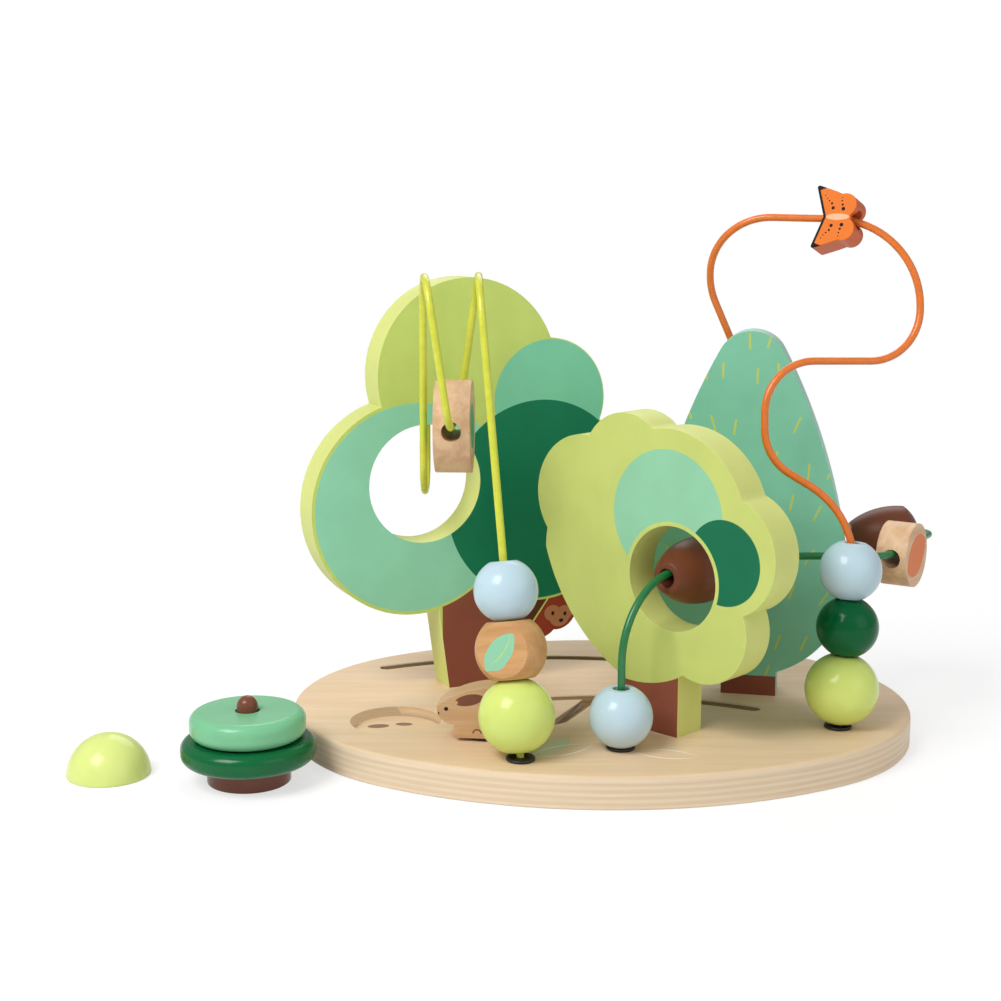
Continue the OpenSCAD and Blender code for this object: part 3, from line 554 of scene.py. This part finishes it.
tree_places = {
    "cloud_tree": ((-0.057, 0.0268875, base_top), 24.5, cloud_print, "leaf_green_paint"),
    "flower_tree": ((0.01875, -0.04815, base_top), -43.5, flower_print, "lime_paint"),
    "egg_tree": ((0.07365, 0.0077625, base_top), -12.5, egg_print, "teal_paint"),
}
for node, (place, turn, prints, slot) in tree_places.items():
    finish = painted(node + "_paint", lime_face, place, (0, 0, math.radians(turn)), prints)
    eased_piece(node, "_board", "maze", finish, board_round)

# Screws: six zinc plated countersunk screws, driven up through the base into the trunks.
# Only their heads show, in the underside of the base.


def speckled(name, dark, light, fineness, rough, metallic=0, bump_depth=0):
    """One plain stuff with fine specks: their count per millimetre, and its least roughness and rise."""
    material, tree, skin = new_finish(name)
    specks = streaks(tree, in_mm(tree), (fineness, fineness, fineness), 3)
    tree.links.new(coat_over(tree, specks, dark, light), skin.inputs["Base Color"])
    roughen(tree, skin, rough[0], specks, rough[1])
    skin.inputs["Metallic"].default_value = metallic
    if bump_depth:
        relief(tree, skin, specks, bump_depth, 0.3)
    return material


def dress(node, material):
    nodes[node].data.materials.clear()
    nodes[node].data.materials.append(material)


zinc = speckled("zinc_plate", tint(150, 152, 156), tint(196, 197, 200), fineness=1.2, rough=(0.25, 0.25),
                metallic=1)
dress("tree_screws", zinc)

# Wires: 3.5 mm steel rod bent cold and dipped in a coloured coat, glued into drilled holes.
# A black rubber washer closes the hole at the foot of each.
coat_unevenness = 0.04 * mm
washer_round = 0.7 * mm
wire_colours = {
    "lime_wire": tint(214, 218, 62), "green_wire": tint(20, 118, 62), "orange_wire": tint(231, 118, 28),
}


def coated_wire(name, colour):
    material, tree, skin = new_finish(name)
    coat = streaks(tree, in_mm(tree), (0.25, 0.25, 0.25), 3)
    drift = between(tree, coat, 0.3, 0.7)
    tree.links.new(coat_over(tree, drift, shade_of(colour, 0.9), colour), skin.inputs["Base Color"])
    roughen(tree, skin, 0.28, coat, 0.12)
    skin.inputs["Coat Weight"].default_value = 0.3
    skin.inputs["Coat Roughness"].default_value = 0.15
    relief(tree, skin, coat, coat_unevenness, 0.3)
    return material


rubber = speckled("black_rubber", tint(18, 17, 16), tint(38, 36, 34), fineness=0.8, rough=(0.3, 0.2),
                  bump_depth=0.04 * mm)
for node, colour in wire_colours.items():
    dress(node, coated_wire(node + "_coat", colour))
    eased_piece(node + "_washer", "_ring", "maze", rubber, washer_round)

# Round beads: turned beech balls with a wide bore, dipped in a glossy lacquer.
# They run loose on the wires and rest on each other.
bead_round = 0.5 * mm
bead_marks = 0.006 * mm
bead_lacquers = {
    "lime_lacquer": (tint(219, 235, 126), 0.3),
    "blue_lacquer": (tint(194, 219, 230), 0.3),
    "dark_green_lacquer": (tint(2, 96, 52), 0.18),
}
round_beads = {
    "lime_lacquer": ("lime_bead_left", "lime_bead_right"),
    "blue_lacquer": ("blue_bead_left", "blue_bead_middle", "blue_bead_right"),
    "dark_green_lacquer": ("dark_green_bead",),
}
for lacquer, (colour, shine) in bead_lacquers.items():
    finish = painted(lacquer, colour, rough=0.12, shine=shine, brush_depth=bead_marks)
    for node in round_beads[lacquer]:
        eased_piece(node, "_ball", node, finish, bead_round, least=60)

# Leaf bead: an oiled beech bead sawn flat on two sides, with a mint leaf printed on each flat.
# The bore runs up through it along the leaning wire, and the grain lies across.
leaf_bead_round = 0.8 * mm
leaf_flat = 10.9
leaf_blade = ((5.8, 7.4), (-8.4, -8.0), 10.6)
leaf_belly = ((-3.4, -3.0), 5.4, 5.1, 40)
leaf_vein = ((4.4, 7.0), (-7.0, -5.8), 4.4)
vein_width = 0.45
vein_slope = 1.12
vein_side = 2.04
leaf_mint = tint(143, 205, 168)
vein_lime = tint(206, 218, 90)
beech_light = tint(212, 163, 110)
beech_dark = tint(200, 148, 96)
beech_pore_share = 0.3
beech_pore_shade = 0.76
lime_foot = Vector((-0.0403383, -0.0902565, base_top))
lime_stem = Vector((-19.298, 50.6425, 217.255)).normalized()
leaf_height = 0.0483169
leaf_facing = math.radians(-20)


def bare_wood(name, light, dark, place, turn, prints):
    """Oiled beech: straight figure along the piece, with short dark pores, and a print on its flats."""
    material, tree, skin = new_finish(name)
    point = in_mm(tree, place, turn)
    grain = placed(tree, wood_grain, Point=point)
    colour = coat_over(tree, grain["Figure"], light, dark)
    pores = scaled(tree, grain["Pores"], beech_pore_share)
    colour = coat_over(tree, pores, colour, shade_of(dark, beech_pore_shade))
    tree.links.new(prints(tree, colour, *axes_of(tree, point)), skin.inputs["Base Color"])
    roughen(tree, skin, 0.45, grain["Pores"], 0.15)
    skin.inputs["Specular IOR Level"].default_value = 0.25
    relief(tree, skin, grain["Pores"], pore_depth, 0.35)
    return material


def on_flats(tree, depth, limit):
    """The two flats of a sawn piece, which lie further from its middle than the limit."""
    return either(tree, under(tree, depth, -limit), above(tree, depth, limit))


def leaf_print(tree, colour, x, y, z):
    flat = on_flats(tree, y, leaf_flat)
    leaf = either(tree, leaf_shape(tree, x, z, *leaf_blade), oval(tree, x, z, *leaf_belly))
    colour = coat_over(tree, both(tree, flat, leaf), colour, leaf_mint)
    lower_side = under(tree, calc(tree, "SUBTRACT", z, scaled(tree, x, vein_slope)), vein_side)
    vein = both(tree, leaf_line(tree, x, z, *leaf_vein, vein_width), lower_side)
    return coat_over(tree, both(tree, flat, vein), colour, vein_lime)


lean_way = math.atan2(lime_stem.y, lime_stem.x)
lean_angle = math.acos(lime_stem.z)
leaf_turn = (Matrix.Rotation(lean_way, 3, "Z") @ Matrix.Rotation(lean_angle, 3, "Y")
             @ Matrix.Rotation(leaf_facing - lean_way, 3, "Z")).to_euler()
leaf_place = lime_foot + leaf_height * lime_stem
leaf_wood = bare_wood("leaf_bead_beech", beech_light, beech_dark, leaf_place, leaf_turn, leaf_print)
eased_piece("leaf_bead", "_flat", "leaf_bead", leaf_wood, leaf_bead_round, least=35)

# Disc beads: two slices of beech with the bore straight across, hung on level stretches of wire.
# Their round faces carry a plain printed shape: green on the large one, orange on the small one.
disc_round = 0.6 * mm
slice_light = tint(232, 196, 158)
slice_dark = tint(214, 170, 130)


def middle_of(node):
    low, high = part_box(node)
    return (low + high) / 2


def disc_print(ink, half_length, rise, width, face_limit):
    def prints(tree, colour, x, y, z):
        shape = leaf_shape(tree, x, z, (-half_length, -rise), (half_length, rise), width)
        return coat_over(tree, both(tree, on_flats(tree, y, face_limit), shape), colour, ink)
    return prints


wire_ways = {"large_disc_bead": (-2.8556, -63.9305), "small_disc_bead": (36.675, 58.1198)}
disc_prints = {
    "large_disc_bead": disc_print(tint(92, 168, 120), half_length=14, rise=8, width=20, face_limit=8.3),
    "small_disc_bead": disc_print(tint(228, 122, 60), half_length=12.5, rise=6, width=19, face_limit=7.45),
}
for node, way in wire_ways.items():
    disc_turn = (0, 0, math.atan2(way[1], way[0]))
    slice_wood = bare_wood(node + "_beech", slice_light, slice_dark, middle_of(node), disc_turn,
                           disc_prints[node])
    eased_piece(node, "_slice", node, slice_wood, disc_round)

# Acorn beads: two turned cones of beech with a domed side, lacquered chestnut brown.
# They hang by their bores on the green wire, one inside the flower tree's hole.
acorn_round = 0.9 * mm
chestnut = painted("chestnut_lacquer", tint(116, 64, 42), rough=0.32)
for node in ("front_acorn_bead", "back_acorn_bead"):
    eased_piece(node, "_nut", node, chestnut, acorn_round)

# Butterfly bead: a thick sawn butterfly, lacquered orange and printed with black edges and dots.
# It rides on the top stretch of the orange wire.
butterfly_orange = tint(236, 122, 40)
butterfly_side = tint(214, 106, 62)
butterfly_pale = tint(246, 190, 150)
butterfly_ink = tint(6, 4, 3)
butterfly_round = 0.6 * mm
butterfly_face = 7.3
butterfly_place = (0.1125, 0.00937, 0.24694)
butterfly_way = math.atan2(-26.0789, 95.0134)
butterfly_tilt = math.radians(15)
butterfly_turn = (math.radians(90) - butterfly_tilt, 0, butterfly_way - butterfly_tilt)
wing_edge_slope = 0.33
wing_edge = -5.6
wing_tip_slope = -0.36
wing_tip = 16.2
wing_tip_end = -2.0
wing_dots = (
    ((-2.6, 4.2), 0.8), ((-3.4, 6.4), 0.55), ((-4.8, 7.6), 0.4), ((-6.0, 8.8), 0.3), ((-7.0, 10.2), 0.3),
    ((2.4, 3.8), 0.9), ((1.8, 5.8), 0.55), ((1.4, 7.6), 0.4), ((1.4, 9.2), 0.3),
)
butterfly_body = ((0, 0), 5.6, 1.5)


def butterfly_print(tree, x, y, z):
    """Both wings alike: black along the upper edge and the tips, rows of dots and a pale body."""
    spread = calc(tree, "ABSOLUTE", y)
    border = calc(tree, "ADD", x, scaled(tree, spread, wing_edge_slope))
    colour = coat_over(tree, under(tree, border, wing_edge), butterfly_orange, butterfly_ink)
    rim = calc(tree, "ADD", spread, scaled(tree, x, wing_tip_slope))
    tips = both(tree, above(tree, rim, wing_tip), under(tree, x, wing_tip_end))
    colour = coat_over(tree, tips, colour, butterfly_ink)
    colour = coat_over(tree, ovals(tree, x, spread, wing_dots), colour, butterfly_ink)
    colour = coat_over(tree, oval(tree, x, y, *butterfly_body), colour, butterfly_pale)
    return coat_over(tree, on_flats(tree, z, butterfly_face), butterfly_side, colour)


butterfly_paint = painted("butterfly_lacquer", butterfly_orange, butterfly_place, butterfly_turn,
                          butterfly_print, rough=0.3, shine=0.08)
eased_piece("butterfly_bead", "_wings", "butterfly_bead", butterfly_paint,
            butterfly_round, least=40)

# Rabbit slider: a rabbit sawn from thick beech and printed on both faces, on a peg in the slot.
# A black washer lies under it, and a keeper disc holds the peg below the base.
rabbit_brown = tint(124, 76, 58)
rabbit_light = tint(212, 176, 136)
rabbit_dark = tint(200, 160, 118)
rabbit_round = 1.2 * mm
rabbit_washer_round = 0.4 * mm
rabbit_face = 6.65
rabbit_place = (-0.057, -0.0592875, 0.0165)
rabbit_turn = (0, 0, math.radians(-6))
rabbit_ear = ((-5.6, 18.0), 6.6, 2.6, 12)
rabbit_ear_notch = ((-12.2, 16.4), 1.6, 0.9, 20)
haunch_middle = (-2.0, 2.4)
haunch_radius = 2.2
haunch_line = 0.7
rabbit_dots = (((-16.1, 13.6), 0.95), ((-19.9, 11.4), 0.7))


def rabbit_print(tree, colour, x, y, z):
    """A brown ear and the upper half of a ring for the haunch, with an eye and a nose."""
    flat = on_flats(tree, y, rabbit_face)
    ear = both(tree, oval(tree, x, z, *rabbit_ear), outside(tree, oval(tree, x, z, *rabbit_ear_notch)))
    haunch = both(tree, oval(tree, x, z, haunch_middle, haunch_radius),
                  outside(tree, oval(tree, x, z, haunch_middle, haunch_radius - haunch_line)),
                  above(tree, z, haunch_middle[1]))
    colour = coat_over(tree, both(tree, flat, either(tree, ear, haunch)), colour, rabbit_brown)
    return coat_over(tree, both(tree, flat, ovals(tree, x, z, rabbit_dots)), colour, ink_black)


rabbit_wood = bare_wood("rabbit_beech", rabbit_light, rabbit_dark, rabbit_place, rabbit_turn, rabbit_print)
eased_piece("rabbit", "_shape", "rabbit_slider", rabbit_wood, rabbit_round, least=40)
eased_piece("rabbit_washer", "_ring", "rabbit_slider", rubber, rabbit_washer_round)
peg_plastic = speckled("grey_plastic", tint(58, 58, 58), tint(82, 82, 82), fineness=1.5, rough=(0.4, 0.2),
                       bump_depth=0.03 * mm)
dress("rabbit_peg", peg_plastic)
dress("peg_keeper", peg_plastic)

# Stacking tree: a turned trunk with an upright peg, two turned rings and a half ball for the top.
# All are lacquered beech and lie loose on each other; the half ball lies beside them.
stack_pieces = {
    "stack_trunk": (tint(128, 74, 56), "brown_lacquer", "stack_foot", 0.8 * mm),
    "stack_peg": (tint(126, 72, 54), "brown_lacquer", "stack_foot", 0.3 * mm),
    "dark_green_ring": (tint(4, 102, 54), "dark_green_lacquer", "dark_green_ring", 0.5 * mm),
    "mint_ring": (tint(126, 198, 150), "mint_lacquer", "mint_ring", 0.5 * mm),
    "dome_top": (tint(222, 235, 138), "lime_lacquer", "dome_top", 0.6 * mm),
}
for node, (colour, slot, body, width) in stack_pieces.items():
    finish = painted(node + "_lacquer", colour, middle_of(node), rough=0.14, shine=0.3)
    eased_piece(node, "_turned", body, finish, width, least=60)

# Room: a white floor that fades into a white wall of light, and a camera in front.
# Three soft boxes light the toy, the strongest from the upper left.
camera_place = (-0.04911, -0.78167, 0.25572)
camera_tilt = math.radians(79.7395)
camera_lens = 59.34
camera_sensor = 36
floor_half = 6
floor_glow = 0.62
floor_shadow_grey = (0.42, 0.42, 0.42, 1)
floor_bounce_grey = (0.8, 0.8, 0.8, 1)
floor_fade = (0.4, 1.0)
floor_dark_half_length = base_half_length - 4
floor_dark_half_width = base_half_width - 3.5
room_light = 0.55

scene = bpy.context.scene
scene.view_settings.view_transform = "Standard"
lens = bpy.data.cameras.new("camera")
lens.sensor_width = camera_sensor
lens.lens = camera_lens
camera = bpy.data.objects.new("camera", lens)
camera.location = camera_place
camera.rotation_euler = (camera_tilt, 0, 0)
scene.collection.objects.link(camera)
scene.camera = camera

floor_paint = bpy.data.materials.new("floor_paint")
floor_paint.use_nodes = True
tree = floor_paint.node_tree
tree.nodes.clear()
bounce = shader(tree, "BsdfDiffuse")
bounce.inputs["Color"].default_value = floor_bounce_grey
soft = shader(tree, "BsdfDiffuse")
soft.inputs["Color"].default_value = floor_shadow_grey
glow = shader(tree, "Emission")
floor_x, floor_y = axes_of(tree, in_mm(tree))[:2]
under_base = oval(tree, floor_x, floor_y, (0, 0), floor_dark_half_length, floor_dark_half_width)
tree.links.new(scaled(tree, outside(tree, under_base), floor_glow), glow.inputs["Strength"])
lit = shader(tree, "AddShader")
tree.links.new(soft.outputs[0], lit.inputs[0])
tree.links.new(glow.outputs[0], lit.inputs[1])
span = shader(tree, "VectorMath", operation="LENGTH")
tree.links.new(shader(tree, "TexCoord").outputs["Object"], span.inputs[0])
paper = shader(tree, "Emission")
fade = shader(tree, "MixShader")
tree.links.new(between(tree, span.outputs["Value"], *floor_fade), fade.inputs[0])
tree.links.new(lit.outputs[0], fade.inputs[1])
tree.links.new(paper.outputs[0], fade.inputs[2])
path = shader(tree, "LightPath")
seen = either(tree, path.outputs["Is Camera Ray"], path.outputs["Is Glossy Ray"],
              path.outputs["Is Transmission Ray"])
choice = shader(tree, "MixShader")
tree.links.new(seen, choice.inputs[0])
tree.links.new(bounce.outputs[0], choice.inputs[1])
tree.links.new(fade.outputs[0], choice.inputs[2])
tree.links.new(choice.outputs[0], shader(tree, "OutputMaterial").inputs["Surface"])
mesh = bmesh.new()
bmesh.ops.create_grid(mesh, x_segments=1, y_segments=1, size=floor_half)
floor_data = bpy.data.meshes.new("floor")
mesh.to_mesh(floor_data)
mesh.free()
floor_data.materials.append(floor_paint)
floor = bpy.data.objects.new("floor", floor_data)
scene.collection.objects.link(floor)

world = bpy.data.worlds.new("studio")
world.use_nodes = True
scene.world = world
tree = world.node_tree
tree.nodes.clear()
ambient = shader(tree, "Background")
ambient.inputs["Strength"].default_value = room_light
white = shader(tree, "Background")
white.inputs["Color"].default_value = (1, 1, 1, 1)
choice = shader(tree, "MixShader")
path = shader(tree, "LightPath")
tree.links.new(path.outputs["Is Camera Ray"], choice.inputs[0])
tree.links.new(ambient.outputs[0], choice.inputs[1])
tree.links.new(white.outputs[0], choice.inputs[2])
tree.links.new(choice.outputs[0], shader(tree, "OutputWorld").inputs["Surface"])


def soft_box(name, place, size, power):
    toy_middle = Vector((0, 0, 0.1))
    light = bpy.data.lights.new(name, "AREA")
    light.shape = "RECTANGLE"
    light.size, light.size_y = size
    light.energy = power
    lamp = bpy.data.objects.new(name, light)
    lamp.location = place
    lamp.rotation_euler = (toy_middle - Vector(place)).to_track_quat("-Z", "Y").to_euler()
    scene.collection.objects.link(lamp)


soft_box("key", (-0.75, -0.75, 1.15), size=(0.7, 0.7), power=15)
soft_box("fill", (1.0, -0.9, 0.7), size=(1.0, 1.0), power=2.5)
soft_box("back", (0.1, 1.2, 1.1), size=(1.2, 0.8), power=6)
